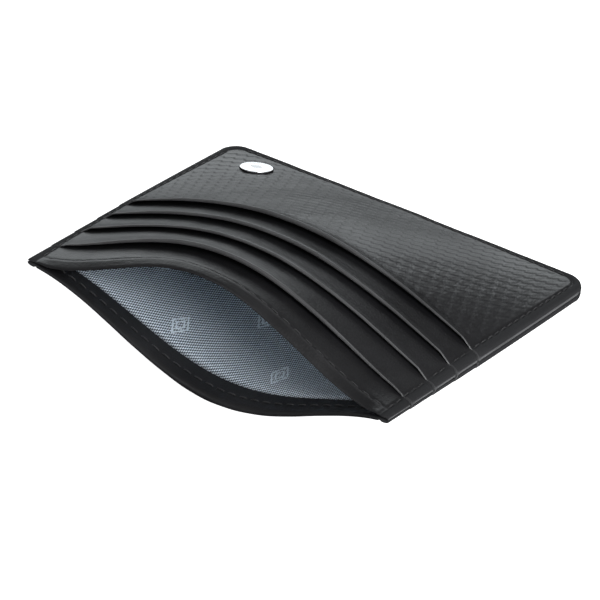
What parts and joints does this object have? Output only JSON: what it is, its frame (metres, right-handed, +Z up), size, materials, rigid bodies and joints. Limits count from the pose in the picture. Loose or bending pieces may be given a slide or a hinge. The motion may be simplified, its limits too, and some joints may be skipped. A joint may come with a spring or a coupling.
{
  "type": "minimalist wallet",
  "caption": "Slim black leather card holder with stepped card slots under a carbon-weave panel on each side, a woven lining and an open mouth that flexes shut.",
  "frame": {"origin": "on the table under the middle of the wallet's bounding box, as it lies with its mouth open", "axes": "+X along the mouth, left to right seen from the mouth; -Y towards the mouth and +Y towards the bottom seam; +Z up, out of the front half"},
  "size_m": [0.0998, 0.0806, 0.0298],
  "materials": {
    "smooth_leather": "semi-gloss fine-grain black leather",
    "carbon_leather": "black leather embossed with a twill weave, semi-gloss",
    "lining_fabric": "blue-grey jacquard with a fine diagonal weave, slight sheen",
    "pocket_cloth": "thin matt black cloth",
    "sewing_thread": "black waxed thread, slight glint",
    "badge_metal": "polished, faint brushing",
    "washer_metal": "plain"
  },
  "bodies": {
    "wallet_base": {"back_lining": "lining_fabric", "back_mouth_strip": "smooth_leather", "back_slot_strip_1": "smooth_leather", "back_slot_strip_2": "smooth_leather", "back_slot_strip_3": "smooth_leather", "back_carbon_panel": "carbon_leather", "back_pocket_cloth_1": "pocket_cloth", "back_pocket_cloth_2": "pocket_cloth", "back_pocket_cloth_3": "pocket_cloth", "back_pocket_cloth_4": "pocket_cloth", "back_lip_thread": "sewing_thread", "seam_thread_front": "sewing_thread", "seam_thread_back": "sewing_thread", "badge_disc": "badge_metal", "badge_washer": "washer_metal"},
    "front_wall": {"front_lining": "lining_fabric", "front_mouth_strip": "smooth_leather", "front_slot_strip_1": "smooth_leather", "front_slot_strip_2": "smooth_leather", "front_slot_strip_3": "smooth_leather", "front_carbon_panel": "carbon_leather", "front_pocket_cloth_1": "pocket_cloth", "front_pocket_cloth_2": "pocket_cloth", "front_pocket_cloth_3": "pocket_cloth", "front_pocket_cloth_4": "pocket_cloth", "front_lip_thread": "sewing_thread"}
  },
  "joints": [
    {"name": "mouth_flex", "type": "hinge", "parent": "wallet_base", "child": "front_wall", "pos_m": [0, 0.04003, 0.00229], "axis": [1, 0, 0], "range_deg": [-5, 19], "deforming": ["front_lining", "front_mouth_strip", "front_slot_strip_1", "front_slot_strip_2", "front_slot_strip_3", "front_carbon_panel", "front_pocket_cloth_1", "front_pocket_cloth_2", "front_pocket_cloth_3", "front_pocket_cloth_4", "front_lip_thread"]}
  ]
}
